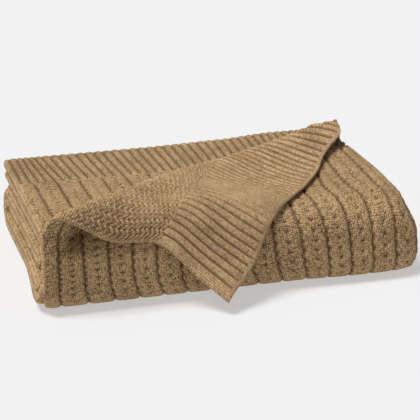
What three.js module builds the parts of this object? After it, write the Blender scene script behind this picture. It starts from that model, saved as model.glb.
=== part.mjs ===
import * as THREE from 'three';

// Folded knit throw blanket in millimetres: X along the folded front, Y to the back, Z up.
// It is one knitted sheet. "across" is measured over its width from the free selvedge,
// "along" is measured down its length from the hem that lies at the back of the stack.

// Sheet
const SHEET_LENGTH = 1520;
const PLY = 3.0;
const PITCH = 4.7;
const HEM_INSET = 28;

// Stack
const BACK_Y = 212;
const FRONT_Y = -54;
const SELVEDGE_X = -198;
const LEFT_FOLD_X = -204;
const RIGHT_FOLD_X = 208;
const INNER_SELVEDGE_X = 180;
const BACK_BULGE = 4;
const TUCK_BACK = 2;
const LAST_HEM_SHORT = 3;

// Heights in the strip of three layers, counted in layers from the bottom
const MID_LEVEL = 9;
const BACK_LEVEL = 6;
const TURN_RADIUS = { wide: 7.5, broad: 4.5, tight: 1.5 };
const LEVEL = {
  topOuter: 16.5,
  topInner: 13.5,
  middleOuter: 10.5,
  middleInner: 7.5,
  bottomInner: 4.5,
  bottomOuter: 1.5,
};

// Turned corner: the two legs it takes off the hem and off the selvedge
const HEM_LEG = 410;
const SELVEDGE_LEG = 211;
const LEAVE_DEG = 56;
const CORNER_ZONE = 340;

const frontCentreY = FRONT_Y + MID_LEVEL * PITCH;
const backCentreY = BACK_Y + BACK_BULGE - BACK_LEVEL * PITCH;
const tuckCentreY = frontCentreY + TUCK_BACK;

// Length of the strip, from the outer hem round to the inner one
const STRIP = [
  { name: 'top, outer', y: BACK_Y, toY: frontCentreY, level: LEVEL.topOuter },
  {
    name: 'front roll, outer',
    turnY: frontCentreY, level: MID_LEVEL, radius: TURN_RADIUS.wide, fromDeg: 90, toDeg: 270, rows: 8,
  },
  { name: 'bottom, outer', y: frontCentreY, toY: backCentreY, level: LEVEL.bottomOuter, rows: 4 },
  {
    name: 'back fold, outer',
    turnY: backCentreY, level: BACK_LEVEL, radius: TURN_RADIUS.broad, fromDeg: -90, toDeg: 90, rows: 6,
  },
  { name: 'middle, outer', y: backCentreY, toY: tuckCentreY, level: LEVEL.middleOuter, rows: 4 },
  {
    name: 'tuck in the front roll',
    turnY: tuckCentreY, level: MID_LEVEL, radius: TURN_RADIUS.tight, fromDeg: 90, toDeg: 270, rows: 5,
  },
  { name: 'middle, inner', y: tuckCentreY, toY: backCentreY, level: LEVEL.middleInner, rows: 4 },
  {
    name: 'back fold, inner',
    turnY: backCentreY, level: BACK_LEVEL, radius: TURN_RADIUS.tight, fromDeg: 90, toDeg: -90, rows: 6,
  },
  { name: 'bottom, inner', y: backCentreY, toY: frontCentreY, level: LEVEL.bottomInner, rows: 4 },
  {
    name: 'front roll, inner',
    turnY: frontCentreY, level: MID_LEVEL, radius: TURN_RADIUS.broad, fromDeg: -90, toDeg: -270, rows: 8,
  },
  { name: 'top, inner', y: frontCentreY, toY: BACK_Y - LAST_HEM_SHORT, level: LEVEL.topInner, rows: 4 },
];

// Cross section of the strip: cover, right fold, lining, left fold, middle layer
const RIGHT_FOLD = Math.PI * PITCH;
const LEFT_FOLD = Math.PI * PITCH / 2;
const COVER_END = RIGHT_FOLD_X - SELVEDGE_X;
const LINING_START = COVER_END + RIGHT_FOLD;
const LINING_END = LINING_START + RIGHT_FOLD_X - LEFT_FOLD_X;
const MIDDLE_START = LINING_END + LEFT_FOLD;
const SHEET_WIDTH = MIDDLE_START + INNER_SELVEDGE_X - LEFT_FOLD_X;

// Lines of the mesh over the width, as X of each station
const COVER_STATIONS = [
  -198, -184, -164, -145, -122, -98, -72, -42, -10, 25, 62, 100, 132, 154, 172, 188, 208,
];
const LINING_STATIONS = [208, 182, 160, 135, 75, 10, -60, -130, -204];
const MIDDLE_STATIONS = [-204, -130, -60, 10, 75, 135, 160, 180];
const RIGHT_FOLD_STEPS = 4;
const LEFT_FOLD_STEPS = 4;

// Lines of the mesh beside the corner's fold, as distance along the sheet from it
const CORNER_ROWS = [-211, -180, -145, -110, -80, -56, -38, -26, -18, -12, -6, 0, 10, 20, 32];
const TOP_ROWS = 4;
const LEAST_ROW = 4.5;
const SNAP = 4;

// Rolled edge of the turned corner, from the selvedge end (0) to the hem end (1): height of its crest,
// its roundness, reach of the slopes under and over it, clearance where it lands
const CORNER_ROLL = [
  { at: -0.30, crest: 8, round: 8, under: 12, over: 34, clear: 1.0 },
  { at: 0.00, crest: 17, round: 12, under: 12, over: 44, clear: 3.0 },
  { at: 0.10, crest: 14, round: 10, under: 13, over: 44, clear: 3.0 },
  { at: 0.22, crest: 10, round: 7, under: 16, over: 46, clear: 3.5 },
  { at: 0.50, crest: 8, round: 5, under: 18, over: 50, clear: 3.5 },
  { at: 0.72, crest: 10, round: 5, under: 24, over: 76, clear: 3.5 },
  { at: 0.90, crest: 19, round: 3, under: 26, over: 104, clear: 3.5 },
  { at: 0.95, crest: 27, round: 1, under: 24, over: 112, clear: 3.0 },
  { at: 1.00, crest: 22, round: 1, under: 20, over: 112, clear: 2.0 },
  { at: 1.06, crest: 4, round: 2, under: 16, over: 112, clear: 2.0 },
];
const ROLL_FADE = { from: 402, to: 420 };
const ROLL_SAMPLES = 28;
const TURNED = { from: -8, to: 22 };

// Soft pulls on the turned cloth: where, how far each reaches, and how far it moves the cloth
const PULLS = [
  {
    name: 'raised hem end', across: 370, along: 28,
    reachAcross: 50, reachAlong: 60, right: 21, forward: -8,
  },
  { name: 'upper hem', across: 310, along: 28, reachAcross: 50, reachAlong: 60, right: 10, forward: 6 },
  { name: 'middle hem', across: 240, along: 28, reachAcross: 50, reachAlong: 60, right: 15, forward: 5 },
  {
    name: 'hem above the notch', across: 170, along: 28,
    reachAcross: 50, reachAlong: 60, right: 10, forward: 6,
  },
  {
    name: 'notch in the hem', across: 110, along: 28,
    reachAcross: 45, reachAlong: 60, right: 1, forward: -9,
  },
  { name: 'lower hem', across: 50, along: 28, reachAcross: 45, reachAlong: 60, right: 4, forward: 1 },
  { name: 'hanging tip', across: 0, along: 28, reachAcross: 45, reachAlong: 50, right: 1, forward: -16 },
  {
    name: 'selvedge over the tip', across: 0, along: 80,
    reachAcross: 60, reachAlong: 40, right: 4, forward: -12,
  },
  { name: 'border end', across: 0, along: 126, reachAcross: 60, reachAlong: 40, right: 18, forward: -16 },
  {
    name: 'sagging selvedge', across: 0, along: 175,
    reachAcross: 60, reachAlong: 36, right: 11, forward: 3,
  },
  { name: 'border line', across: 90, along: 126, reachAcross: 60, reachAlong: 50, right: 12, forward: -9 },
];

// Leans of the turned cloth and the cloth under it together
const LEANS = [
  { name: 'curl', across: 0, along: 239, reachAcross: 60, reachAlong: 60, right: -10, forward: 28 },
  {
    name: 'beside the curl', across: 70, along: 205,
    reachAcross: 60, reachAlong: 60, right: -3, forward: 11,
  },
  {
    name: 'middle of the roll', across: 150, along: 165,
    reachAcross: 70, reachAlong: 60, right: 11, forward: -17,
  },
  {
    name: 'end of the roll', across: 260, along: 105,
    reachAcross: 80, reachAlong: 60, right: 0, forward: -13,
  },
  { name: 'front, left', across: 10, along: 290, reachAcross: 60, reachAlong: 50, right: -4, forward: -10 },
  {
    name: 'front, left of middle', across: 120, along: 275,
    reachAcross: 80, reachAlong: 60, right: -12, forward: 0,
  },
  {
    name: 'front, middle', across: 230, along: 270,
    reachAcross: 70, reachAlong: 60, right: -16, forward: 0,
  },
  {
    name: 'front, right of middle', across: 290, along: 215,
    reachAcross: 60, reachAlong: 40, right: -15, forward: 0,
  },
  {
    name: 'selvedge at the curl', across: 0, along: 226,
    reachAcross: 24, reachAlong: 10, right: -7, forward: 0,
  },
];
const LEAN_FADE = { from: 290, to: CORNER_ZONE };

// The roll gapes at the selvedge, and the border under the raised end is gathered
const OPEN_END = { along: 198, reachAcross: 30, reachAlong: 30, out: 7 };
const GATHER = {
  by: 45,
  acrossFrom: 310,
  acrossTo: 384,
  alongFrom: 28,
  alongTo: 126,
  endFrom: 150,
  endTo: CORNER_ZONE,
};

// The selvedge of the inner layers reaches further left than the outer one
const INNER_SELVEDGE = { by: 7, reach: 60, from: 440, to: 520 };

// Sag and lean of the whole stack
const FULL = 2 * MID_LEVEL * PITCH;
const LOFT = { base: 1.07, sag: 0.06, sagFrom: -40, sagTo: 150 };
const BACK_RISE = { by: 0.08, xFrom: -40, xTo: 110, yFrom: 30, yTo: 200, xEnd: 170, xStop: 215 };
const FRONT = { from: -50, to: 60 };
const FRONT_FOOT = { by: 14, byRight: 5, rightFrom: 60, rightTo: 150, below: 0.55 };
const RIGHT_RECESS = { by: 10, from: 185, to: 222 };
const LEFT_LEAN = { by: 3, from: -212, to: -120 };
const LEFT_FOOT = { by: 11, yFrom: -60, yTo: 80, low: 0.05, high: 0.5 };
const LEFT_BACK = { by: 1.5, yFrom: 0, yTo: 200, low: 0.6, high: 0.95 };
const RIGHT_END = { by: 10, from: 60, to: 170 };
const RIGHT_REAR = { by: 5.5, from: 150, to: 195, yFrom: -30, yTo: 70 };
const RIGHT_TOP = { by: 10, from: 185, to: 215 };
const RIGHT_HEIGHT = { low: 0.5, high: 0.9 };

function smooth(value, from, to) {
  const part = Math.min(Math.max((value - from) / (to - from), 0), 1);
  return part * part * (3 - 2 * part);
}

// Strip: each run or turn with its length
const stripParts = [];
let stripLength = 0;
for (const part of STRIP) {
  const turn = part.radius !== undefined;
  const sweep = turn ? (part.toDeg - part.fromDeg) * Math.PI / 180 : 0;
  const length = turn ? Math.abs(sweep) * part.radius * PITCH : Math.abs(part.toY - part.y);
  stripParts.push({ ...part, turn, sweep, length, start: stripLength });
  stripLength += length;
}
const CREST = stripParts[1].start;
const ROLL_END = stripParts[2].start;

function stripPoint(along) {
  let part = stripParts[0];
  for (const candidate of stripParts) {
    if (along >= candidate.start) {
      part = candidate;
    }
  }
  const travel = along - part.start;
  if (!part.turn) {
    const heading = Math.sign(part.toY - part.y);
    return { y: part.y + heading * travel, z: part.level * PITCH, outY: 0, outZ: -heading };
  }
  const side = Math.sign(part.sweep);
  const angle = part.fromDeg * Math.PI / 180 + side * travel / (part.radius * PITCH);
  const radius = part.radius * PITCH;
  return {
    y: part.turnY + radius * Math.cos(angle),
    z: part.level * PITCH + radius * Math.sin(angle),
    outY: side * Math.cos(angle),
    outZ: side * Math.sin(angle),
  };
}

// Section: X and the offset to the outside of the strip
function sectionPoint(across) {
  if (across <= COVER_END) {
    return { x: SELVEDGE_X + across, out: PITCH };
  }
  if (across <= LINING_START) {
    const angle = Math.PI / 2 - (across - COVER_END) / PITCH;
    return { x: RIGHT_FOLD_X + PITCH * Math.cos(angle), out: PITCH * Math.sin(angle) };
  }
  if (across <= LINING_END) {
    return { x: RIGHT_FOLD_X - (across - LINING_START), out: -PITCH };
  }
  if (across <= MIDDLE_START) {
    const radius = PITCH / 2;
    const angle = -Math.PI / 2 - (across - LINING_END) / radius;
    return { x: LEFT_FOLD_X + radius * Math.cos(angle), out: -radius + radius * Math.sin(angle) };
  }
  return { x: LEFT_FOLD_X + across - MIDDLE_START, out: 0 };
}

function hemLine(across) {
  return HEM_INSET * (1 - smooth(across, COVER_END, LINING_END));
}

function foldLine(across) {
  return HEM_INSET + SELVEDGE_LEG * (1 - across / HEM_LEG);
}

// Interpolation through the rows of a table without overshoot
function tableValue(table, key, at) {
  const last = table.length - 1;
  const place = Math.min(Math.max(at, table[0].at), table[last].at);
  let row = 0;
  while (row < last - 1 && place > table[row + 1].at) {
    row += 1;
  }
  const gap = (index) => table[index + 1].at - table[index].at;
  const rise = (index) => (table[index + 1][key] - table[index][key]) / gap(index);
  const slope = (index) => {
    if (index === 0 || index === last) {
      return index === 0 ? rise(0) : rise(last - 1);
    }
    if (rise(index - 1) * rise(index) <= 0) {
      return 0;
    }
    const before = 2 * gap(index) + gap(index - 1);
    const after = gap(index) + 2 * gap(index - 1);
    return (before + after) / (before / rise(index - 1) + after / rise(index));
  };
  const span = gap(row);
  const part = (place - table[row].at) / span;
  const keep = 1 - part;
  return table[row][key] * (1 + 2 * part) * keep * keep
    + table[row + 1][key] * (3 - 2 * part) * part * part
    + slope(row) * span * part * keep * keep
    - slope(row + 1) * span * keep * part * part;
}

function bezier(first, second, third, fourth, part) {
  const keep = 1 - part;
  return keep ** 3 * first + 3 * part * keep ** 2 * second
    + 3 * part ** 2 * keep * third + part ** 3 * fourth;
}

// Rolled edge in profile: the cloth climbs under the crest, turns and runs back over itself
function rollPoint(crest, round, under, over, landing, travel) {
  if (travel < 0) {
    return { reach: -under + travel, lift: 0 };
  }
  const points = [];
  for (let step = 0; step < 2 * ROLL_SAMPLES - 1; step += 1) {
    const rising = step < ROLL_SAMPLES;
    const part = rising ? step / (ROLL_SAMPLES - 1) : (step - ROLL_SAMPLES + 1) / (ROLL_SAMPLES - 1);
    const climb = bezier(0, 0, 0.15 * crest, crest, part);
    const descent = bezier(crest, crest + 1.5 * round, landing, landing, part);
    points.push(rising
      ? { reach: bezier(-under, -0.35 * under, 0, 0, part), lift: climb }
      : { reach: bezier(0, 0, -0.5 * over, -over, part), lift: descent });
  }
  let left = travel;
  for (let index = 1; index < points.length; index += 1) {
    const from = points[index - 1];
    const to = points[index];
    const length = Math.hypot(to.reach - from.reach, to.lift - from.lift);
    if (left <= length) {
      const part = left / length;
      const reach = from.reach + part * (to.reach - from.reach);
      return { reach, lift: from.lift + part * (to.lift - from.lift) };
    }
    left -= length;
  }
  return { reach: -over - left, lift: landing };
}

// Turned cloth over the top, round the front shoulder and then straight down at a slant
function drape(along, out) {
  const radius = TURN_RADIUS.wide * PITCH;
  const free = Math.max(out - PITCH, 0);
  const centreZ = MID_LEVEL * PITCH;
  if (along <= CREST) {
    return { y: BACK_Y - along, z: centreZ + radius + out };
  }
  const full = (along - CREST) / (radius + free);
  const leave = LEAVE_DEG * Math.PI / 180;
  const limit = leave + (Math.PI - leave) * (1 - smooth(free, 0, 0.8 * PITCH));
  const angle = Math.min(full, limit);
  const rest = Math.max(full - limit, 0) * (radius + free);
  return {
    y: frontCentreY - (radius + out) * Math.sin(angle) - rest * Math.cos(limit),
    z: centreZ + (radius + out) * Math.cos(angle) - rest * Math.sin(limit),
  };
}

function settle(x, y, z) {
  const height = z / FULL;
  const loft = LOFT.base
    - LOFT.sag * smooth(x, LOFT.sagFrom, LOFT.sagTo)
    + BACK_RISE.by * smooth(x, BACK_RISE.xFrom, BACK_RISE.xTo) * smooth(y, BACK_RISE.yFrom, BACK_RISE.yTo)
      * (1 - smooth(x, BACK_RISE.xEnd, BACK_RISE.xStop));
  const front = 1 - smooth(y, FRONT.from, FRONT.to);
  const left = 1 - smooth(x, LEFT_LEAN.from, LEFT_LEAN.to);
  const spread = FRONT_FOOT.by + FRONT_FOOT.byRight * smooth(x, FRONT_FOOT.rightFrom, FRONT_FOOT.rightTo);
  const foot = spread * front * (1 - smooth(height, 0, FRONT_FOOT.below));
  const recess = RIGHT_RECESS.by * front * smooth(x, RIGHT_RECESS.from, RIGHT_RECESS.to);
  const leftFoot = LEFT_FOOT.by * (1 - smooth(y, LEFT_FOOT.yFrom, LEFT_FOOT.yTo))
    * (1 - smooth(height, LEFT_FOOT.low, LEFT_FOOT.high));
  const leftBack = LEFT_BACK.by * smooth(y, LEFT_BACK.yFrom, LEFT_BACK.yTo)
    * (1 - smooth(height, LEFT_BACK.low, LEFT_BACK.high));
  const high = smooth(height, RIGHT_HEIGHT.low, RIGHT_HEIGHT.high);
  const rightRear = RIGHT_REAR.by * smooth(x, RIGHT_REAR.from, RIGHT_REAR.to)
    * smooth(y, RIGHT_REAR.yFrom, RIGHT_REAR.yTo) * high;
  const rightTop = RIGHT_TOP.by * smooth(x, RIGHT_TOP.from, RIGHT_TOP.to) * high;
  const rightEnd = RIGHT_END.by * smooth(x, RIGHT_END.from, RIGHT_END.to);
  return new THREE.Vector3(
    x + left * (LEFT_LEAN.by - leftFoot - leftBack) - rightEnd + rightRear - rightTop,
    y - foot + recess,
    PLY / 2 + (z - PITCH / 2) * loft,
  );
}

function share(spot, across, along) {
  const sideways = (across - spot.across) / spot.reachAcross;
  const lengthways = (along - spot.along) / spot.reachAlong;
  return Math.exp(-(sideways ** 2) - lengthways ** 2);
}

function clothPoint(across, along) {
  const section = sectionPoint(across);
  const edgeShift = INNER_SELVEDGE.by * (1 - smooth(across, 0, INNER_SELVEDGE.reach))
    * smooth(along, INNER_SELVEDGE.from, INNER_SELVEDGE.to);
  if (across > ROLL_FADE.to || along >= CORNER_ZONE) {
    const strip = stripPoint(along);
    const y = strip.y + section.out * strip.outY;
    const z = strip.z + section.out * strip.outZ;
    return settle(section.x - edgeShift, y, z);
  }
  const legs = Math.hypot(HEM_LEG, SELVEDGE_LEG);
  const foldAcross = HEM_LEG / legs;
  const foldAlong = -SELVEDGE_LEG / legs;
  const fromCorner = along - HEM_INSET - SELVEDGE_LEG;
  const beside = across * foldAcross + fromCorner * foldAlong;
  const past = across * foldAlong - fromCorner * foldAcross;
  const at = beside / legs;
  const under = tableValue(CORNER_ROLL, 'under', at);
  const flap = smooth(past, TURNED.from, TURNED.to);
  let newAcross = across;
  let newAlong = along;
  let out = section.out;
  if (past > -under) {
    const landing = tableValue(CORNER_ROLL, 'clear', at) + PITCH;
    const crest = tableValue(CORNER_ROLL, 'crest', at);
    const round = tableValue(CORNER_ROLL, 'round', at);
    const over = tableValue(CORNER_ROLL, 'over', at);
    const roll = rollPoint(crest, round, under, over, landing, past + under);
    const fade = 1 - smooth(across, ROLL_FADE.from, ROLL_FADE.to);
    newAcross = across + fade * (beside * foldAcross + roll.reach * foldAlong - across);
    const rolledAlong = HEM_INSET + SELVEDGE_LEG + beside * foldAlong - roll.reach * foldAcross;
    newAlong = along + fade * (rolledAlong - along);
    out += fade * roll.lift;
  }
  for (const pull of PULLS) {
    newAcross += flap * pull.right * share(pull, across, along);
    newAlong += flap * pull.forward * share(pull, across, along);
  }
  const leaning = 1 - smooth(along, LEAN_FADE.from, LEAN_FADE.to);
  for (const lean of LEANS) {
    newAcross += leaning * lean.right * share(lean, across, along);
    newAlong += leaning * lean.forward * share(lean, across, along);
  }
  out += flap * OPEN_END.out * share({ ...OPEN_END, across: 0 }, across, along);
  newAlong -= (1 - flap) * GATHER.by * smooth(across, GATHER.acrossFrom, GATHER.acrossTo)
    * smooth(along, GATHER.alongFrom, GATHER.alongTo) * (1 - smooth(along, GATHER.endFrom, GATHER.endTo));
  const point = drape(newAlong, out);
  return settle(section.x - across + newAcross, point.y, point.z);
}

// Mesh lines over the width
function stepsBetween(from, to, steps) {
  return Array.from({ length: steps - 1 }, (unused, index) => from + (to - from) * (index + 1) / steps);
}

const columns = [
  ...COVER_STATIONS.map((x) => x - SELVEDGE_X),
  ...stepsBetween(COVER_END, LINING_START, RIGHT_FOLD_STEPS),
  ...LINING_STATIONS.map((x) => LINING_START + RIGHT_FOLD_X - x),
  ...stepsBetween(LINING_END, MIDDLE_START, LEFT_FOLD_STEPS),
  ...MIDDLE_STATIONS.map((x) => MIDDLE_START + x - LEFT_FOLD_X),
];

// Mesh lines along the length; those of the top follow the corner's fold line
const lastCornerRow = CORNER_ROWS[CORNER_ROWS.length - 1];
const rows = CORNER_ROWS.map((offset) => (across) => {
  const base = Math.max(hemLine(across), foldLine(across));
  const place = offset < 0 ? foldLine(across) + offset : base + offset;
  return place - hemLine(across) < SNAP ? hemLine(across) : place;
});
const firstRun = HEM_INSET + lastCornerRow;
const frontRows = [
  ...stepsBetween(firstRun, CREST, TOP_ROWS),
  CREST,
  ...stepsBetween(CREST, ROLL_END, stripParts[1].rows),
  ROLL_END,
];
frontRows.forEach((target, index) => {
  rows.push((across) => {
    const start = Math.max(hemLine(across), foldLine(across)) + lastCornerRow;
    return Math.max(target, start + (index + 1) * LEAST_ROW);
  });
});
for (const part of stripParts.slice(2)) {
  for (let step = 1; step <= part.rows; step += 1) {
    rows.push(() => part.start + part.length * step / part.rows);
  }
}

// Both faces of the sheet and its rim
function sheetGeometry() {
  const centres = [];
  const normals = [];
  const grid = columns.map((across) => {
    const indices = [];
    let previous = null;
    for (const row of rows) {
      const along = row(across);
      if (previous === null || along > previous) {
        const step = 0.4;
        const overWidth = clothPoint(Math.min(across + step, SHEET_WIDTH), along)
          .sub(clothPoint(Math.max(across - step, 0), along));
        const overLength = clothPoint(across, along + step)
          .sub(clothPoint(across, Math.max(along - step, 0)));
        centres.push(clothPoint(across, along));
        normals.push(overLength.cross(overWidth).normalize());
        previous = along;
      }
      indices.push(centres.length - 1);
    }
    return indices;
  });

  const faces = [];
  const addFace = (a, b, c) => {
    if (a !== b && b !== c && c !== a) {
      faces.push([a, b, c]);
    }
  };
  for (let column = 0; column < columns.length - 1; column += 1) {
    for (let row = 0; row < rows.length - 1; row += 1) {
      const a = grid[column][row];
      const b = grid[column][row + 1];
      const c = grid[column + 1][row + 1];
      const d = grid[column + 1][row];
      if (centres[a].distanceTo(centres[c]) <= centres[b].distanceTo(centres[d])) {
        addFace(a, b, c);
        addFace(a, c, d);
      } else {
        addFace(a, b, d);
        addFace(b, c, d);
      }
    }
  }

  const count = centres.length;
  const positions = [];
  for (const side of [PLY / 2, -PLY / 2]) {
    for (let index = 0; index < count; index += 1) {
      const point = centres[index].clone().addScaledVector(normals[index], side);
      positions.push(point.x, point.y, point.z);
    }
  }
  const edges = new Set(faces.flatMap(([a, b, c]) => [`${a} ${b}`, `${b} ${c}`, `${c} ${a}`]));
  const indices = [];
  for (const [a, b, c] of faces) {
    indices.push(a, b, c, a + count, c + count, b + count);
    for (const [from, to] of [[a, b], [b, c], [c, a]]) {
      if (!edges.has(`${to} ${from}`)) {
        indices.push(to, from, from + count, to, from + count, to + count);
      }
    }
  }
  const geometry = new THREE.BufferGeometry();
  geometry.setAttribute('position', new THREE.Float32BufferAttribute(positions, 3));
  geometry.setIndex(indices);
  return geometry;
}

const geometry = sheetGeometry();
geometry.computeBoundingBox();
const box = geometry.boundingBox;
geometry.translate(-(box.min.x + box.max.x) / 2, -(box.min.y + box.max.y) / 2, -box.min.z);
geometry.computeVertexNormals();

const yarn = new THREE.MeshStandardMaterial({ color: 0xa8845a, roughness: 0.95, metalness: 0 });
const throwBlanket = new THREE.Mesh(geometry, yarn);
throwBlanket.name = 'throw';

const group = new THREE.Group();
group.name = 'knit_throw_blanket';
group.add(throwBlanket);

export default group;
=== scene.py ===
# Knit throw blanket, folded, with its top corner turned back over the front.
# One knitted sheet: braided columns, a ribbed border at each end, chained long edges.
import bpy
import math
import numpy as np
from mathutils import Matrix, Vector


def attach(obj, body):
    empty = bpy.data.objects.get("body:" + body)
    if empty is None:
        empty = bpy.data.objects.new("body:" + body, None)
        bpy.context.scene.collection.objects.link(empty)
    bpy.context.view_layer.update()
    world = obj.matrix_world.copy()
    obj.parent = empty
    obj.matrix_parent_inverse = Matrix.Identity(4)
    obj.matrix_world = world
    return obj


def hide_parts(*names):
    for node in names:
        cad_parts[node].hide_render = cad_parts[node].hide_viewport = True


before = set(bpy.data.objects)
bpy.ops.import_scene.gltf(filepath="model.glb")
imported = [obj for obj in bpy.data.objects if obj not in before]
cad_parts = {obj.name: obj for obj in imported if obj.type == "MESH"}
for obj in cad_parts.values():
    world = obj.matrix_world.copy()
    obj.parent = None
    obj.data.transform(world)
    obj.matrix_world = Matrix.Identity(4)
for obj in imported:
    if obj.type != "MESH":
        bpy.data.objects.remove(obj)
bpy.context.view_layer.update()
print("packed frame read")

# The folded sheet, in mm. u runs over its width from the free edge, v down its length from the hem.
sheet = {
    "length": 1520.0,
    "layers": 18,
    "layerPitch": 4.7,  # from the middle of one layer to the next
    "hemInset": 28.0,  # the outer layer runs round the outside of the folds, so its hem comes up short
    "innerHemInset": 3.0,
    "backY": 212.0,
    "backBulge": 4.0,  # the turns at the back stand out past the hem
    "frontY": -54.0,
    "tuck": 2.0,  # the small turn inside the front roll lies this far behind the others
    "freeEdgeX": -198.0,
    "leftFoldX": -204.0,
    "rightFoldX": 208.0,
    "innerEdgeX": 180.0,
    "middleOfPart": (-4.403, 55.922, 0.0),
}
pitch = sheet["layerPitch"]
frontLevel, backLevel = sheet["layers"] / 2, sheet["layers"] / 3  # middles of the turns, in layers
frontCentre = sheet["frontY"] + frontLevel * pitch
backCentre = sheet["backY"] + sheet["backBulge"] - backLevel * pitch
tuckCentre = frontCentre + sheet["tuck"]
coverEnd = sheet["rightFoldX"] - sheet["freeEdgeX"]
liningStart = coverEnd + math.pi * pitch
liningEnd = liningStart + sheet["rightFoldX"] - sheet["leftFoldX"]
middleStart = liningEnd + math.pi * pitch / 2
sheetWidth = middleStart + sheet["innerEdgeX"] - sheet["leftFoldX"]

# The strip of three layers, from its outer hem to its inner one: flat runs and turns.
# Levels and radii are counted in layers.
stripRuns = [
    {"fromY": sheet["backY"], "toY": frontCentre, "level": 16.5},
    {"turnY": frontCentre, "level": frontLevel, "radius": 7.5, "fromDeg": 90, "toDeg": 270},
    {"fromY": frontCentre, "toY": backCentre, "level": 1.5},
    {"turnY": backCentre, "level": backLevel, "radius": 4.5, "fromDeg": -90, "toDeg": 90},
    {"fromY": backCentre, "toY": tuckCentre, "level": 10.5},
    {"turnY": tuckCentre, "level": frontLevel, "radius": 1.5, "fromDeg": 90, "toDeg": 270},
    {"fromY": tuckCentre, "toY": backCentre, "level": 7.5},
    {"turnY": backCentre, "level": backLevel, "radius": 1.5, "fromDeg": 90, "toDeg": -90},
    {"fromY": backCentre, "toY": frontCentre, "level": 4.5},
    {"turnY": frontCentre, "level": frontLevel, "radius": 4.5, "fromDeg": -90, "toDeg": -270},
    {"fromY": frontCentre, "toY": sheet["backY"] - sheet["innerHemInset"], "level": 13.5},
]
reached = 0.0
for run in stripRuns:
    run["start"] = reached
    if "radius" in run:
        reached += abs(math.radians(run["toDeg"] - run["fromDeg"])) * run["radius"] * pitch
    else:
        reached += abs(run["toY"] - run["fromY"])
frontTurn = stripRuns[1]
crestAt = frontTurn["start"]


def smooth(value, low, high):
    part = np.clip((value - low) / (high - low), 0, 1)
    return part * part * (3 - 2 * part)


def comesIn(effect, places):
    # an effect grows from nothing at the first number of each of its spans to all of it at the second
    amount = effect["by"]
    for name in places:
        if name in effect:
            amount = amount * smooth(places[name], *effect[name])
    return amount


def stripAt(w):
    # place along the strip, and the direction out of it
    y, z, outY, outZ = (np.zeros_like(w) for _ in range(4))
    for index, run in enumerate(stripRuns):
        here = w >= run["start"] if index else np.ones_like(w, bool)
        travel = w[here] - run["start"]
        if "radius" in run:
            side = math.copysign(1, run["toDeg"] - run["fromDeg"])
            radius = run["radius"] * pitch
            angle = math.radians(run["fromDeg"]) + side * travel / radius
            y[here] = run["turnY"] + radius * np.cos(angle)
            z[here] = run["level"] * pitch + radius * np.sin(angle)
            outY[here] = side * np.cos(angle)
            outZ[here] = side * np.sin(angle)
        else:
            heading = math.copysign(1, run["toY"] - run["fromY"])
            y[here] = run["fromY"] + heading * travel
            z[here] = run["level"] * pitch
            outY[here] = 0
            outZ[here] = -heading
    return y, z, outY, outZ


def sectionAt(u):
    # across the strip: cover, right fold, lining, left fold, middle layer
    x, out = np.zeros_like(u), np.zeros_like(u)
    here = u <= coverEnd
    x[here] = sheet["freeEdgeX"] + u[here]
    out[here] = pitch
    here = (u > coverEnd) & (u <= liningStart)
    angle = math.pi / 2 - (u[here] - coverEnd) / pitch
    x[here] = sheet["rightFoldX"] + pitch * np.cos(angle)
    out[here] = pitch * np.sin(angle)
    here = (u > liningStart) & (u <= liningEnd)
    x[here] = sheet["rightFoldX"] - (u[here] - liningStart)
    out[here] = -pitch
    here = (u > liningEnd) & (u <= middleStart)
    angle = -math.pi / 2 - (u[here] - liningEnd) / (pitch / 2)
    x[here] = sheet["leftFoldX"] + pitch / 2 * np.cos(angle)
    out[here] = -pitch / 2 + pitch / 2 * np.sin(angle)
    here = u > middleStart
    x[here] = sheet["leftFoldX"] + u[here] - middleStart
    out[here] = 0
    return x, out


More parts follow.
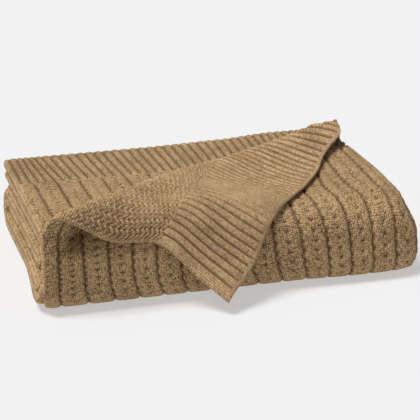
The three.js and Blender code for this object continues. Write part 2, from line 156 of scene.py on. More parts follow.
# The corner that is turned back: its legs on the hem and on the free edge, its rolled edge
# (crest height, roundness, reach of the slopes under and over it, clearance where it lands),
# the gathered border by its raised end, soft pulls on the part that is turned and leans of all of it.
corner = {
    "hemLeg": 410.0,
    "edgeLeg": 211.0,
    "leaveDeg": 56.0,
    "leaveLift": 0.8,  # cloth that is lifted this many layers leaves the front roll
    "zone": 340.0,
    "leansUntil": 290.0,  # from here to the end of the zone they fade out
    "flapStarts": (-8.0, 22.0),  # past the turning line
    "rollAt": (-0.30, 0.00, 0.10, 0.22, 0.50, 0.72, 0.90, 0.95, 1.00, 1.06),
    "crest": (8, 17, 14, 10, 8, 10, 19, 27, 22, 4),
    "round": (8, 12, 10, 7, 5, 5, 3, 1, 1, 2),
    "under": (12, 12, 13, 16, 18, 24, 26, 24, 20, 16),
    "over": (34, 44, 44, 46, 50, 76, 104, 112, 112, 112),
    "clear": (1.0, 3.0, 3.0, 3.5, 3.5, 3.5, 3.5, 3.0, 2.0, 2.0),
    "rollCurve": {"points": 28, "flatUnder": 0.35, "flatOver": 0.5, "firstRise": 0.15, "bulge": 1.5},
    "fade": (402.0, 420.0),
    "gather": {"by": 45.0, "u": (310.0, 384.0), "w": (28.0, 126.0), "until": 150.0},
    "openEnd": {"u": 0.0, "w": 198.0, "reachU": 30.0, "reachW": 30.0, "out": 7.0},  # the roll gapes there
    "pulls": [
        {"u": 370, "w": 28, "reachU": 50, "reachW": 60, "right": 21, "forward": -8},
        {"u": 310, "w": 28, "reachU": 50, "reachW": 60, "right": 10, "forward": 6},
        {"u": 240, "w": 28, "reachU": 50, "reachW": 60, "right": 15, "forward": 5},
        {"u": 170, "w": 28, "reachU": 50, "reachW": 60, "right": 10, "forward": 6},
        {"u": 110, "w": 28, "reachU": 45, "reachW": 60, "right": 1, "forward": -9},
        {"u": 50, "w": 28, "reachU": 45, "reachW": 60, "right": 4, "forward": 1},
        {"u": 0, "w": 28, "reachU": 45, "reachW": 50, "right": 1, "forward": -16},
        {"u": 0, "w": 80, "reachU": 60, "reachW": 40, "right": 4, "forward": -12},
        {"u": 0, "w": 126, "reachU": 60, "reachW": 40, "right": 18, "forward": -16},
        {"u": 0, "w": 175, "reachU": 60, "reachW": 36, "right": 11, "forward": 3},
        {"u": 90, "w": 126, "reachU": 60, "reachW": 50, "right": 12, "forward": -9},
    ],
    "leans": [
        {"u": 0, "w": 239, "reachU": 60, "reachW": 60, "right": -10, "forward": 28},
        {"u": 70, "w": 205, "reachU": 60, "reachW": 60, "right": -3, "forward": 11},
        {"u": 150, "w": 165, "reachU": 70, "reachW": 60, "right": 11, "forward": -17},
        {"u": 260, "w": 105, "reachU": 80, "reachW": 60, "right": 0, "forward": -13},
        {"u": 10, "w": 290, "reachU": 60, "reachW": 50, "right": -4, "forward": -10},
        {"u": 120, "w": 275, "reachU": 80, "reachW": 60, "right": -12, "forward": 0},
        {"u": 230, "w": 270, "reachU": 70, "reachW": 60, "right": -16, "forward": 0},
        {"u": 290, "w": 215, "reachU": 60, "reachW": 40, "right": -15, "forward": 0},
        {"u": 0, "w": 226, "reachU": 24, "reachW": 10, "right": -7, "forward": 0},
    ],
}


def between(places, heights, at):
    # monotone curve through the table's rows
    x, h = np.asarray(places, float), np.asarray(heights, float)
    gap = np.diff(x)
    rise = np.diff(h) / gap
    slope = np.zeros_like(h)
    slope[0], slope[-1] = rise[0], rise[-1]
    for row in range(1, len(h) - 1):
        if rise[row - 1] * rise[row] > 0:
            before, after = 2 * gap[row] + gap[row - 1], gap[row] + 2 * gap[row - 1]
            slope[row] = (before + after) / (before / rise[row - 1] + after / rise[row])
    at = np.clip(at, x[0], x[-1])
    row = np.clip(np.searchsorted(x, at, side="left") - 1, 0, len(h) - 2)
    part = (at - x[row]) / gap[row]
    keep = 1 - part
    return (h[row] * (1 + 2 * part) * keep**2 + h[row + 1] * (3 - 2 * part) * part**2
            + slope[row] * gap[row] * part * keep**2 - slope[row + 1] * gap[row] * keep * part**2)


def bend(first, second, third, fourth, part):
    keep = 1 - part
    return keep**3 * first + 3 * part * keep**2 * second + 3 * part**2 * keep * third + part**3 * fourth


def nearby(spot, u, w):
    return np.exp(-((u - spot["u"]) / spot["reachU"])**2 - ((w - spot["w"]) / spot["reachW"])**2)


def rolledEdge(crest, rounding, under, over, landing, travel):
    # up a slope, round the crest and down to where it lands; gives reach past the turning line and lift
    curve = corner["rollCurve"]
    crest, rounding, under, over, landing = (
        value[:, None] for value in (crest, rounding, under, over, landing))
    part = np.linspace(0, 1, curve["points"])[None, :]
    none = np.zeros_like(crest)
    reach = np.concatenate([bend(-under, -curve["flatUnder"] * under, none, none, part),
                            bend(none, none, -curve["flatOver"] * over, -over, part)[:, 1:]], 1)
    top = crest + curve["bulge"] * rounding
    lift = np.concatenate([bend(none, none, curve["firstRise"] * crest, crest, part),
                           bend(crest, top, landing, landing, part)[:, 1:]], 1)
    length = np.hypot(np.diff(reach, axis=1), np.diff(lift, axis=1))
    total = np.concatenate([none, np.cumsum(length, 1)], 1)
    index = np.clip((total <= travel[:, None]).sum(1) - 1, 0, total.shape[1] - 2)
    row = np.arange(len(index))
    step = np.clip((travel - total[row, index]) / np.maximum(length[row, index], 1e-9), 0, 1)
    past = np.maximum(travel - total[:, -1], 0)
    newReach = reach[row, index] + step * (reach[row, index + 1] - reach[row, index]) - past
    newLift = lift[row, index] + step * (lift[row, index + 1] - lift[row, index])
    return newReach, newLift


def drape(w, out):
    # over the top, round the front shoulder, then straight down at a slant
    radius = frontTurn["radius"] * pitch
    free = np.maximum(out - pitch, 0)
    turned = np.maximum((w - crestAt) / (radius + free), 0)
    leave = math.radians(corner["leaveDeg"])
    limit = leave + (math.pi - leave) * (1 - smooth(free, 0, corner["leaveLift"] * pitch))
    angle = np.minimum(turned, limit)
    rest = np.maximum(turned - limit, 0) * (radius + free)
    y = np.where(w <= crestAt, sheet["backY"] - w,
                 frontCentre - (radius + out) * np.sin(angle) - rest * np.cos(limit))
    z = frontLevel * pitch + (radius + out) * np.cos(angle) - rest * np.sin(limit)
    return y, z


# How the stack sags, spreads at the foot and leans, and the hollow under the curl of the free edge.
# Spans of x and y are in mm, those of height are shares of the stack's.
settling = {
    "bed": 3.4,  # the lowest layer's middle lies this high
    "loft": 1.07,
    "sag": {"by": 0.06, "x": (-40, 150)},
    "backRise": [{"by": 0.08, "x": (-40, 110)}, {"by": 0.05, "x": (60, 135)}],
    "backRiseArea": {"by": 1.0, "y": (30, 200), "x": (215, 160)},
    "rightward": [
        {"by": 3.0, "x": (-120, -212)},  # left end
        {"by": -11.0, "x": (-120, -212), "y": (80, -60), "height": (0.5, 0.05)},  # its foot
        {"by": -1.5, "x": (-120, -212), "y": (0, 200), "height": (0.95, 0.6)},  # its back
        {"by": -10.0, "x": (60, 170)},  # right end
        {"by": 5.5, "x": (150, 195), "y": (-30, 70), "height": (0.5, 0.9)},  # its rear
        {"by": -10.0, "x": (185, 215), "height": (0.5, 0.9)},  # its top
    ],
    "backward": [
        {"by": -14.0, "y": (60, -50), "height": (0.55, 0)},  # foot of the front roll
        {"by": -5.0, "x": (60, 150), "y": (60, -50), "height": (0.55, 0)},  # and more of it at the right
        {"by": 10.0, "x": (185, 222), "y": (60, -50)},  # recess at the right end
    ],
    "innerEdge": {"by": -7.0, "u": (60, 0), "w": (440, 520)},  # the inner layers reach further left
    "hollow": {"at": (-180.0, -40.0, 80.0), "reach": 19.0, "push": 19.0, "away": (0.26, 0.9, -0.34)},
}


def settle(x, y, z, lying):
    here = {"x": x, "y": y, "height": z / (sheet["layers"] * pitch)}
    hollow = settling["hollow"]
    distance = sum((place - middle)**2 for place, middle in zip((x, y, z), hollow["at"]))
    dent = hollow["push"] * lying * np.exp(-distance / hollow["reach"]**2)
    dentX, dentY, dentZ = (share * dent for share in hollow["away"])  # away from the viewer
    backRise = sum(comesIn(effect, here) for effect in settling["backRise"])
    backRise = backRise * comesIn(settling["backRiseArea"], here)
    loft = settling["loft"] - comesIn(settling["sag"], here) + backRise
    newX = x + dentX + sum(comesIn(effect, here) for effect in settling["rightward"])
    newY = y + dentY + sum(comesIn(effect, here) for effect in settling["backward"])
    return newX, newY, settling["bed"] + (z - pitch / 2 + dentZ) * loft


def turnCorner(u, w, out):
    # where the corner's cloth goes, over the stack and out of it, and 1 where it isn't on the flap
    legs = math.hypot(corner["hemLeg"], corner["edgeLeg"])
    foldU, foldW = corner["hemLeg"] / legs, -corner["edgeLeg"] / legs
    start = sheet["hemInset"] + corner["edgeLeg"]
    beside = u * foldU + (w - start) * foldW
    past = u * foldW - (w - start) * foldU
    crest, rounding, under, over, clear = (between(corner["rollAt"], corner[key], beside / legs)
                                           for key in ("crest", "round", "under", "over", "clear"))
    newU, newW, newOut = u.copy(), w.copy(), out.copy()
    roll = np.flatnonzero(past > -under)
    reach, lift = rolledEdge(crest[roll], rounding[roll], under[roll], over[roll], clear[roll] + pitch,
                             past[roll] + under[roll])
    fade = 1 - smooth(u[roll], *corner["fade"])
    newU[roll] += fade * (beside[roll] * foldU + reach * foldW - u[roll])
    newW[roll] += fade * (start + beside[roll] * foldW - reach * foldU - w[roll])
    newOut[roll] += fade * lift
    flap = smooth(past, *corner["flapStarts"])
    for pull in corner["pulls"]:
        share = flap * nearby(pull, u, w)
        newU += pull["right"] * share
        newW += pull["forward"] * share
    for lean in corner["leans"]:
        share = nearby(lean, u, w) * (1 - smooth(w, corner["leansUntil"], corner["zone"]))
        newU += lean["right"] * share
        newW += lean["forward"] * share
    newOut += corner["openEnd"]["out"] * flap * nearby(corner["openEnd"], u, w)
    gathered = comesIn(corner["gather"], {"u": u, "w": w})
    newW -= (1 - flap) * gathered * (1 - smooth(w, corner["gather"]["until"], corner["zone"]))
    return newU, newW, newOut, 1 - flap


def foldedCloth(u, v):
    # middle of the sheet, in metres in the part's frame
    shape = u.shape
    u, v = u.ravel().astype(float), v.ravel().astype(float)
    w = v + sheet["hemInset"] * (1 - smooth(u, coverEnd, liningEnd)) * (1 - v / sheet["length"])
    x, out = sectionAt(u)
    y, z, outY, outZ = stripAt(w)
    y, z = y + out * outY, z + out * outZ
    lying = np.ones_like(u)
    turned = np.flatnonzero((u <= corner["fade"][1]) & (w < corner["zone"]))
    if len(turned):
        newU, newW, newOut, lying[turned] = turnCorner(u[turned], w[turned], out[turned])
        y[turned], z[turned] = drape(newW, newOut)
        x[turned] += newU - u[turned]
    x += comesIn(settling["innerEdge"], {"u": u, "w": w})
    x, y, z = settle(x, y, z, lying)
    points = np.stack([x, y, z], -1) - np.array(sheet["middleOfPart"])
    return (points / 1000).reshape(shape + (3,))


# The knit. a counts mm over the width in the field's own pitch. Grooves of ribs and columns meet at
# firstGroove and then every three columns.
columnPitch = 26.2
knit = {
    "columnPitch": columnPitch,
    "ribPitch": columnPitch * 3 / 8,
    "firstGroove": 16.375,
    "border": 98.0,
    "borderBlend": (-2.0, 3.0),
    "blockPitch": 9.0,
    "blockSlant": 7.0,
    "stitchWidth": 1.965,
    "stitchHeight": 2.0,
    "stitchSlant": 2.5,
    "plyHalf": 0.8,
    "spreadPast": 20.0,  # the spread of the borders ends this far past them
    "hemAt": (0, 50, 80, 110, 150, 190, 230, 270, 310, 350, 384, 444),
    "hemShift": (0, 9, 8, 0, -20, -36, -42, -32, -10, 10, 20, 0),  # ribs at the turned hem run to its notch
    "middleFlare": {"by": 0.07, "about": 190.0, "startsOver": 60.0, "endsOver": 40.0},
}
# Cast-off hems and chained long edges. The knit is flatter where they are.
edges = {
    "hem": {"inset": 2.0, "reach": 1.7, "height": 0.7, "wave": 0.2, "stitch": 2.456},
    "chain": {"inset": 2.4, "reach": 1.8, "height": 0.9, "wave": 0.3, "stitch": 4.2},
    "flatter": 0.6,
}


def borderShare(v):
    low, high = knit["borderBlend"]
    far = sheet["length"] - knit["border"]
    return 1 - smooth(v, knit["border"] + low, knit["border"] + high) + smooth(v, far - high, far - low)


def acrossAt(a, v):
    # the free ribbed borders spread a little wider than the braided field
    spread = 1 - smooth(v, 0, knit["border"] + knit["spreadPast"])
    cover = between(knit["hemAt"], knit["hemShift"], a)
    flare = knit["middleFlare"]
    middle = flare["by"] * (a - middleStart - flare["about"])
    middle = middle * smooth(a, middleStart, middleStart + flare["startsOver"])
    middle = middle * (1 - smooth(a, sheetWidth - flare["endsOver"], sheetWidth))
    return a + spread * (cover + middle)


def withEdges(a, v, rib, field):
    # ribs in the borders and the field between them, each a height and a lightness, with the rolled edges
    border = borderShare(v)
    height, top = (border * inBorder + (1 - border) * inField for inBorder, inField in zip(rib, field))
    roll, onRoll = 0, 0
    for edge, inward, along in ((edges["hem"], np.minimum(v, sheet["length"] - v), a),
                                (edges["chain"], np.minimum(a, sheetWidth - a), v)):
        onEdge = np.exp(-((inward - edge["inset"]) / edge["reach"])**2)
        wave = edge["wave"] * np.cos(2 * np.pi * along / edge["stitch"])
        roll = roll + edge["height"] * onEdge * (1 - edge["wave"] + wave)
        onRoll = np.maximum(onRoll, onEdge)
    return height * (1 - edges["flatter"] * onRoll) + roll, top * (1 - onRoll) + onRoll


# Heights are in mm, widths and places in shares of a rib or of half a column. Lightness is painted shade on
# the relief and runs from 0 in a furrow to 1.
face = {
    "ribHeight": 2.5,
    "ribSlope": (0.12, 0.46),
    "ribLightness": 0.25,
    "creaseDepth": 0.3,
    "creaseWidth": 0.07,
    "leafBase": 0.7,
    "leafHeight": 2.6,
    "leafLightness": 0.16,
    "leafRoundness": 1.8,
    "notch": 0.10,
    "middleNotch": 0.95,  # the notch between two leaves is deep only at the middle of a column
    "notchWidth": 0.19,
    "grooveWidth": 0.155,
    "grooveSway": 0.7,  # mm; the grooves between columns wander a little from block to block
    "beadHeight": 1.2,
    "beadLightness": 0.26,
    "beadShift": 0.25,
}


def rightSide(a, v):
    # raised ribs, and columns of two rows of slanted leaves with beads in the grooves between them
    rib = np.mod((a - knit["firstGroove"]) / knit["ribPitch"], 1)
    fromRidge = np.abs(rib - 0.5)
    ribTop = 1 - smooth(fromRidge, *face["ribSlope"])
    crease = face["creaseDepth"] * np.exp(-(fromRidge / face["creaseWidth"])**2)
    ribHeight = face["ribHeight"] * ribTop - crease
    ribLightness = face["ribLightness"] + (1 - face["ribLightness"]) * ribTop
    sway = face["grooveSway"] * np.sin(2 * np.pi * v / knit["blockPitch"])
    column = np.mod((a - knit["firstGroove"] + sway) / knit["columnPitch"], 1)
    toCentre = 1 - np.abs(2 * column - 1)
    leaf = np.mod((v - knit["blockSlant"] * toCentre) / knit["blockPitch"], 1)
    puff = 1 - np.abs(2 * leaf - 1)**face["leafRoundness"]
    notch = face["notch"] + face["middleNotch"] * np.exp(-((1 - toCentre) / face["notchWidth"])**2)
    puffed = 1 - np.minimum(notch, 1) * (1 - puff)
    atGroove = np.exp(-(toCentre / face["grooveWidth"])**2)
    bead = 0.5 - 0.5 * np.cos(2 * np.pi * (v / knit["blockPitch"] + face["beadShift"]))
    height = face["leafBase"] + face["leafHeight"] * puffed
    height = height * (1 - atGroove) + face["beadHeight"] * bead * atGroove
    # painted shade: darker in the notches between leaves and in the grooves between columns, lighter on the
    # puffed leaves
    lightness = face["leafLightness"] + (1 - face["leafLightness"]) * puffed
    lightness = lightness * (1 - atGroove) + face["beadLightness"] * bead * atGroove
    return withEdges(a, v, (ribHeight, ribLightness), (height, lightness))


reverse = {
    "ribHeight": 2.2,
    "ribWave": 0.2,
    "furrowWidth": 0.15,
    "widerFurrow": {"by": 0.04, "a": (110, 200)},
    "stretched": {"at": 130.0, "reach": 16.0, "atHem": 18.0, "share": 0.9},  # ribs pulled flat by the notch
    "purlsPerColumn": 4,
    "purlPitch": 5.0,
    "purlSlant": 5.6,
    "purlBase": 0.2,
    "purlHeight": 2.6,
    "purlEnds": {"by": 0.6, "fromMiddle": (0.25, 0.5)},
    "purlLightness": (0.20, 1.3),
}


def wrongSide(a, v):
    # flat wide ribs with narrow furrows, and short slanted purls behind the columns; their lightness is
    # painted shade, dark in the furrows and between the purl ridges
    rib = np.mod((a - knit["firstGroove"]) / knit["ribPitch"], 1)
    stretched = reverse["stretched"]
    reach = stretched["reach"] + stretched["atHem"] * (1 - smooth(v, 0, knit["border"]))
    flat = stretched["share"] * np.exp(-((a - stretched["at"]) / reach)**2)
    furrowWidth = reverse["furrowWidth"] + comesIn(reverse["widerFurrow"], {"a": a})
    shadedFurrow = np.exp(-((rib - 0.5) / furrowWidth)**2) * (1 - flat)
    ribHeight = reverse["ribHeight"] * (1 - shadedFurrow) + reverse["ribWave"] * np.cos(2 * np.pi * rib)
    purl = np.mod((a - knit["firstGroove"]) / (knit["columnPitch"] / reverse["purlsPerColumn"]), 2)
    inPurl = np.mod(purl, 1)
    slanted = reverse["purlSlant"] * np.where(purl < 1, inPurl, 1 - inPurl)
    ridge = 0.5 + 0.5 * np.cos(2 * np.pi * (v + slanted) / reverse["purlPitch"])
    ridge = ridge * (1 - comesIn(reverse["purlEnds"], {"fromMiddle": np.abs(inPurl - 0.5)}))
    low, gain = reverse["purlLightness"]
    return withEdges(a, v, (ribHeight, 1 - shadedFurrow),
                     (reverse["purlBase"] + reverse["purlHeight"] * ridge, low + gain * ridge))


def groove(column):
    return knit["firstGroove"] + column * knit["columnPitch"]


# Panels of the sheet, each a closed slab of cloth with a right and a wrong side. They meet in grooves,
# and under the stack. backEvery says how much wider the wrong side's steps are.
fineStep, wideStep = knit["columnPitch"] / 16, knit["columnPitch"] / 4
panels = {
    "coverLeft": {"from": 0.0, "to": groove(6), "step": fineStep, "backEvery": 1, "rows": "cover"},
    "coverMiddle": {"from": groove(6), "to": groove(12), "step": fineStep, "backEvery": 1, "rows": "cover"},
    "coverRight": {"from": groove(12), "to": groove(16), "step": fineStep, "backEvery": 1, "rows": "cover"},
    "underLeft": {"from": 0.0, "to": groove(6), "step": fineStep, "backEvery": 2, "rows": "under"},
    "underMiddle": {"from": groove(6), "to": groove(12), "step": fineStep, "backEvery": 4, "rows": "under"},
    "underRight": {"from": groove(12), "to": groove(16), "step": fineStep, "backEvery": 4, "rows": "under"},
    "lining": {"from": groove(16), "to": groove(30), "step": wideStep, "backEvery": 1, "rows": "hidden"},
    "leftFolds": {"from": groove(30), "to": groove(33), "step": fineStep, "backEvery": 4, "rows": "edge"},
    "middleLayer": {"from": groove(33), "to": sheetWidth, "step": fineStep, "backEvery": 4, "rows": "hem"},
}
# Each run of rows has its end and its step. Where the steps are short the knit is raised.
underStack = 345.0
rowPlans = {
    "cover": {"from": 0.0, "runs": [(underStack, 1.1)]},
    "under": {"from": underStack, "runs": [(605.0, 2.6), (sheet["length"], 8.0)]},
    "hidden": {"from": 0.0, "runs": [(sheet["length"], 8.0)]},
    "edge": {"from": 0.0, "runs": [(underStack, 1.6), (sheet["length"], 2.4)]},
    "hem": {"from": 0.0, "runs": [(300.0, 1.6), (sheet["length"], 8.0)]},
}
weaving = {
    "shortStep": 3.0,
    "rowsInStep": 4,  # a multiple of every panel's backEvery
    "plainFace": {"height": 1.2, "lightness": 0.8},  # where the knit isn't raised
    "plainReverse": {"height": 0.5, "lightness": 0.8},
    "rimRadius": 1.6,
    "rimThin": 0.35,
    "lowest": 0.0002,  # the cloth is pressed flat where it lies on the floor
}


def rowPlaces(plan):
    # places down the length and whether each is closely spaced
    last = plan["from"]
    fineRun = [1.0 if step < weaving["shortStep"] else 0.0 for _, step in plan["runs"]]
    places, fine = [last], [fineRun[0]]
    for (end, step), isFine in zip(plan["runs"], fineRun):
        count = int(round((end - last) / step / weaving["rowsInStep"])) * weaving["rowsInStep"]
        places += list(last + (end - last) * np.arange(1, count + 1) / count)
        fine += [isFine] * count
        last = end
    return np.array(places), np.array(fine)


def unitNormals(points):
    downLength = np.gradient(points, axis=1)
    overWidth = np.gradient(points, axis=0)
    normal = np.cross(downLength, overWidth)
    return normal / np.maximum(np.linalg.norm(normal, axis=2, keepdims=True), 1e-12)


def clothSurface(base, normal, relief, plain, raisedShare, rounding):
    # one side of the cloth, out from its middle along the normal, and how light it is
    height, lightness = relief
    height = height * raisedShare + plain["height"] * (1 - raisedShare)
    lightness = lightness * raisedShare + plain["lightness"] * (1 - raisedShare)
    surface = base + normal * ((knit["plyHalf"] + height) * rounding)[..., None] / 1000
    surface[..., 2] = np.maximum(surface[..., 2], weaving["lowest"])
    return surface, lightness


def slabFaces(frontShape, backShape, every):
    # faces of the right side, of the wrong side, and of the rim that joins them
    front = np.arange(math.prod(frontShape)).reshape(frontShape)
    back = front.size + np.arange(math.prod(backShape)).reshape(backShape)
    frontCorners = (front[:-1, :-1], front[:-1, 1:], front[1:, 1:], front[1:, :-1])
    backCorners = (back[:-1, :-1], back[1:, :-1], back[1:, 1:], back[:-1, 1:])
    frontFaces, backFaces = (np.stack([grid.ravel() for grid in corners], -1).tolist()
                             for corners in (frontCorners, backCorners))
    rimFaces = []
    sides = [(front[:, 0], back[:, 0], 1), (front[:, -1], back[:, -1], -1),
             (front[0, :], back[0, :], -1), (front[-1, :], back[-1, :], 1)]
    for frontRow, backRow, turn in sides:
        for place in range(len(backRow) - 1):
            ring = [*frontRow[place * every:(place + 1) * every + 1], backRow[place + 1], backRow[place]]
            rimFaces.append([int(index) for index in ring[::turn]])
    return frontFaces, backFaces, rimFaces


def stitchPlaces(a, v, slant):
    # one stitch is a unit square; on the right side the rows slant with the leaves
    column = np.mod((a - knit["firstGroove"]) / knit["columnPitch"], 1)
    toCentre = 1 - np.abs(2 * column - 1)
    row = v - slant * toCentre * (1 - borderShare(v))
    return np.stack([a / knit["stitchWidth"], row / knit["stitchHeight"]], -1)


def weavePanel(name, plan, materials):
    every = plan["backEvery"]
    count = int(round((plan["to"] - plan["from"]) / plan["step"]))
    count = int(math.ceil(count / every)) * every
    v, fine = rowPlaces(rowPlans[plan["rows"]])
    gridA, gridV = np.meshgrid(np.linspace(plan["from"], plan["to"], count + 1), v, indexing="ij")
    backA, backV = gridA[::every, ::every], gridV[::every, ::every]
    base = foldedCloth(acrossAt(gridA, gridV), gridV)
    normal = unitNormals(base)
    raised = np.broadcast_to(fine[None, :], gridA.shape)
    backRaised = raised if every == 1 else np.zeros_like(backA)
    toEdge = np.minimum(np.minimum(gridA, sheetWidth - gridA), np.minimum(gridV, sheet["length"] - gridV))
    toEdge = np.clip(toEdge / weaving["rimRadius"], 0, 1)
    rounding = weaving["rimThin"] + (1 - weaving["rimThin"]) * np.sqrt(toEdge * (2 - toEdge))
    right, top = clothSurface(base, normal, rightSide(gridA, gridV), weaving["plainFace"], raised, rounding)
    backNormal, backRounding = -normal[::every, ::every], rounding[::every, ::every]
    wrong, backTop = clothSurface(base[::every, ::every], backNormal, wrongSide(backA, backV),
                                  weaving["plainReverse"], backRaised, backRounding)

    frontFaces, backFaces, rimFaces = slabFaces(gridA.shape, backA.shape, every)
    points = np.concatenate([right.reshape(-1, 3), wrong.reshape(-1, 3)])
    mesh = bpy.data.meshes.new(name)
    mesh.from_pydata(points.tolist(), [], frontFaces + backFaces + rimFaces)
    knitPlace = [np.stack([gridA, gridV], -1) / 1000, np.stack([backA, backV], -1) / 1000]
    stitches = [stitchPlaces(gridA, gridV, knit["stitchSlant"]), stitchPlaces(backA, backV, 0)]
    loopVertex = np.zeros(len(mesh.loops), np.int32)
    mesh.loops.foreach_get("vertex_index", loopVertex)
    for layerName, sides in (("knitPlace", knitPlace), ("stitches", stitches)):
        values = np.concatenate([side.reshape(-1, 2) for side in sides])
        layer = mesh.uv_layers.new(name=layerName)
        layer.uv.foreach_set("vector", values[loopVertex].astype(np.float32).ravel())
    lightness = np.concatenate([top.ravel(), backTop.ravel()]).astype(np.float32)
    # the raised attribute carries painted shade: the cloth's lightness, low in furrows, grooves and notches
    # and 1 on top of the knit
    mesh.attributes.new("raised", "FLOAT", "POINT").data.foreach_set("value", lightness)
    for material in materials:
        mesh.materials.append(material)
    slots = np.zeros(len(mesh.polygons), np.int32)
    slots[len(frontFaces):len(frontFaces) + len(backFaces)] = 1
    mesh.polygons.foreach_set("material_index", slots)
    mesh.polygons.foreach_set("use_smooth", np.ones(len(mesh.polygons), bool))
    mesh.update()

    piece = bpy.data.objects.new(name, mesh)
    bpy.context.collection.objects.link(piece)
    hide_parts("throw")
    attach(piece, "root")
    print(name, "knitted,", 2 * (len(frontFaces) + len(backFaces)), "triangles")


# Yarn: matte and a little hairy. Its colour carries painted shade, lighter on the stitches and darker in
# the furrows and between stitches.
yarn = {
    "shadedFurrow": (0.105, 0.056, 0.021),
    "fullColour": 0.8,  # where the cloth's lightness reaches this, no painted furrow shade is left
    "darkest": 0.18,
    "headroom": 0.25,
    "roughness": 0.93,
    "specular": 0.15,
    "sheen": 0.10,
    "sheenRoughness": 0.5,
    "sheenTint": (1.0, 0.82, 0.62),
    "stitchDome": (0.15, 0.70),
    "stitchBump": 0.9,
    "stitchDepth": 0.0010,
    "fibre": {"scale": 1100.0, "detail": 2.0, "share": 0.30},
    "fibreBump": 0.4,
    "fibreDepth": 0.0004,
    "blotch": {"scale": 30.0, "detail": 3.0, "share": 0.35},
    "rightSide": {"light": (0.740, 0.490, 0.255), "dark": (0.095, 0.052, 0.020),
                  "unevenness": 0.50, "stitchShare": 0.55, "mottle": 0.34},
    "wrongSide": {"light": (0.770, 0.515, 0.277), "dark": (0.160, 0.094, 0.042),
                  "unevenness": 0.26, "stitchShare": 0.36, "mottle": 0.18},
}


def yarnMaterial(name, side):
    material = bpy.data.materials.new(name)
    material.use_nodes = True
    nodes, links = material.node_tree.nodes, material.node_tree.links
    nodes.clear()

    def combine(operation, first, second):
        node = nodes.new("ShaderNodeMath")
        node.operation = operation
        for socket, value in zip(node.inputs, (first, second)):
            if isinstance(value, (int, float)):
                socket.default_value = value
            else:
                links.new(value, socket)
        return node.outputs[0]

    def spread(value, low, high, toLow=0.0, toHigh=1.0):
        node = nodes.new("ShaderNodeMapRange")
        for socket, number in zip(node.inputs[1:5], (low, high, toLow, toHigh)):
            socket.default_value = number
        links.new(value, node.inputs[0])
        return node.outputs[0]

    def blend(share, first, second):
        node = nodes.new("ShaderNodeMix")
        node.data_type = "RGBA"
        links.new(share, node.inputs[0])
        for socket, colour in ((node.inputs[6], first), (node.inputs[7], second)):
            if isinstance(colour, tuple):
                socket.default_value = colour + (1,)
            else:
                links.new(colour, socket)
        return node.outputs[2]

    def noise(pattern):
        node = nodes.new("ShaderNodeTexNoise")
        node.inputs["Scale"].default_value = pattern["scale"]
        node.inputs["Detail"].default_value = pattern["detail"]
        links.new(place.outputs["Object"], node.inputs["Vector"])
        return node.outputs[0]

    def bump(height, strength, depth, under=None):
        node = nodes.new("ShaderNodeBump")
        node.inputs["Strength"].default_value = strength
        node.inputs["Distance"].default_value = depth
        links.new(height, node.inputs["Height"])
        if under is not None:
            links.new(under, node.inputs["Normal"])
        return node.outputs[0]

    place = nodes.new("ShaderNodeTexCoord")
    stitchMap = nodes.new("ShaderNodeUVMap")
    stitchMap.uv_map = "stitches"
    stitch = nodes.new("ShaderNodeTexVoronoi")
    stitch.voronoi_dimensions = "2D"
    stitch.inputs["Scale"].default_value = 1.0
    stitch.inputs["Randomness"].default_value = side["unevenness"]
    links.new(stitchMap.outputs["UV"], stitch.inputs["Vector"])
    eachStitch = nodes.new("ShaderNodeSeparateColor")
    links.new(stitch.outputs["Color"], eachStitch.inputs[0])
    raised = nodes.new("ShaderNodeAttribute")
    raised.attribute_name = "raised"

    # painted shade between stitches: each stitch is lighter at its middle and darker towards its rim; the
    # mottle, fibre and blotch add the yarn's own uneven tone
    domed = spread(stitch.outputs["Distance"], *yarn["stitchDome"], 1.0, 0.0)
    fibre, blotch = noise(yarn["fibre"]), noise(yarn["blotch"])
    mottled = combine("MULTIPLY", eachStitch.outputs[0], side["mottle"])
    blotched = combine("MULTIPLY", combine("SUBTRACT", blotch, 0.5), yarn["blotch"]["share"])
    lightness = combine("MULTIPLY", domed, side["stitchShare"])
    lightness = combine("ADD", lightness, mottled)
    lightness = combine("ADD", lightness, combine("MULTIPLY", fibre, yarn["fibre"]["share"]))
    lightness = combine("ADD", lightness, blotched)
    brightest = side["stitchShare"] + yarn["headroom"] + side["mottle"] / 2
    onYarn = blend(spread(lightness, yarn["darkest"], brightest), side["dark"], side["light"])
    # painted shade: the dark furrow colour where the cloth's lightness is low
    colour = blend(spread(raised.outputs["Fac"], 0.0, yarn["fullColour"]), yarn["shadedFurrow"], onYarn)
    stitchBump = yarn["stitchBump"] * side["stitchShare"] / yarn["rightSide"]["stitchShare"]
    stitches = bump(domed, stitchBump, yarn["stitchDepth"])
    fibres = bump(fibre, yarn["fibreBump"], yarn["fibreDepth"], stitches)

    shader = nodes.new("ShaderNodeBsdfPrincipled")
    shader.inputs["Roughness"].default_value = yarn["roughness"]
    shader.inputs["Sheen Weight"].default_value = yarn["sheen"]
    shader.inputs["Sheen Roughness"].default_value = yarn["sheenRoughness"]
    shader.inputs["Sheen Tint"].default_value = yarn["sheenTint"] + (1,)
    shader.inputs["Specular IOR Level"].default_value = yarn["specular"]
    links.new(colour, shader.inputs["Base Color"])
    links.new(fibres, shader.inputs["Normal"])
    output = nodes.new("ShaderNodeOutputMaterial")
    links.new(shader.outputs["BSDF"], output.inputs["Surface"])
    return material


yarnSides = [yarnMaterial("camelKnitRightSide", yarn["rightSide"]),
             yarnMaterial("camelKnitWrongSide", yarn["wrongSide"])]
print("yarn mixed")
for panelName, panelPlan in panels.items():
    weavePanel(panelName, panelPlan, yarnSides)

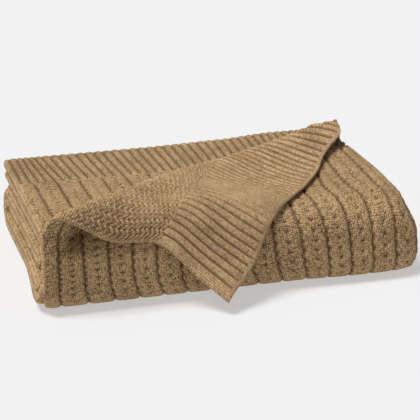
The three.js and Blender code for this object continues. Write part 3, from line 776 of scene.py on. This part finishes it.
# Studio: pale floor that glows a little, soft even light from above and the left, camera a little above the
# front left.
studio = {
    "floorSize": 9.0,
    "floorColour": (0.39, 0.39, 0.395),
    "floorRoughness": 0.9,
    "floorGlow": 0.45,
    "skyColour": (1.0, 1.0, 1.01),
    "skyStrength": 0.24,
    "sunStrength": 2.95,
    "sunAngleDeg": 24.0,
    "sunFrom": (-0.42, 0.06, 1.0),
    "cameraAzimuthDeg": 16.4,
    "cameraElevationDeg": 20.0,
    "cameraDistance": 1.6309,
    "cameraAim": (0.004403, 0.004078, 0.055),
    "lensMm": 125.49,
    "sensorMm": 36,
}


def makeFloor():
    half = studio["floorSize"] / 2
    corners = [(-half, -half, 0), (half, -half, 0), (half, half, 0), (-half, half, 0)]
    mesh = bpy.data.meshes.new("paleFloor")
    mesh.from_pydata(corners, [], [(0, 1, 2, 3)])
    floor = bpy.data.objects.new("paleFloor", mesh)
    bpy.context.collection.objects.link(floor)
    material = bpy.data.materials.new("palePaper")
    material.use_nodes = True
    paper = material.node_tree.nodes["Principled BSDF"]
    paper.inputs["Base Color"].default_value = studio["floorColour"] + (1,)
    paper.inputs["Roughness"].default_value = studio["floorRoughness"]
    # painted light: the floor's glow lightens the shadows cast on it
    paper.inputs["Emission Color"].default_value = (1, 1, 1, 1)
    paper.inputs["Emission Strength"].default_value = studio["floorGlow"]
    mesh.materials.append(material)


def makeLights():
    world = bpy.data.worlds.new("softSky")
    world.use_nodes = True
    sky = world.node_tree.nodes["Background"]
    sky.inputs["Color"].default_value = studio["skyColour"] + (1,)
    sky.inputs["Strength"].default_value = studio["skyStrength"]
    bpy.context.scene.world = world
    light = bpy.data.lights.new("softKey", "SUN")
    light.energy = studio["sunStrength"]
    light.angle = math.radians(studio["sunAngleDeg"])
    lamp = bpy.data.objects.new("softKey", light)
    lamp.rotation_euler = Vector(studio["sunFrom"]).to_track_quat("Z", "Y").to_euler()
    bpy.context.collection.objects.link(lamp)


def makeCamera():
    azimuth, elevation = (math.radians(studio[key]) for key in ("cameraAzimuthDeg", "cameraElevationDeg"))
    look = Vector((math.sin(azimuth) * math.cos(elevation), math.cos(azimuth) * math.cos(elevation),
                   -math.sin(elevation)))
    lens = bpy.data.cameras.new("camera")
    lens.lens = studio["lensMm"]
    lens.sensor_width = studio["sensorMm"]
    camera = bpy.data.objects.new("camera", lens)
    camera.location = Vector(studio["cameraAim"]) - look * studio["cameraDistance"]
    camera.rotation_euler = look.to_track_quat("-Z", "Y").to_euler()
    bpy.context.collection.objects.link(camera)
    bpy.context.scene.camera = camera


makeFloor()
makeLights()
makeCamera()
bpy.context.scene.view_settings.view_transform = "Standard"
print("studio set")
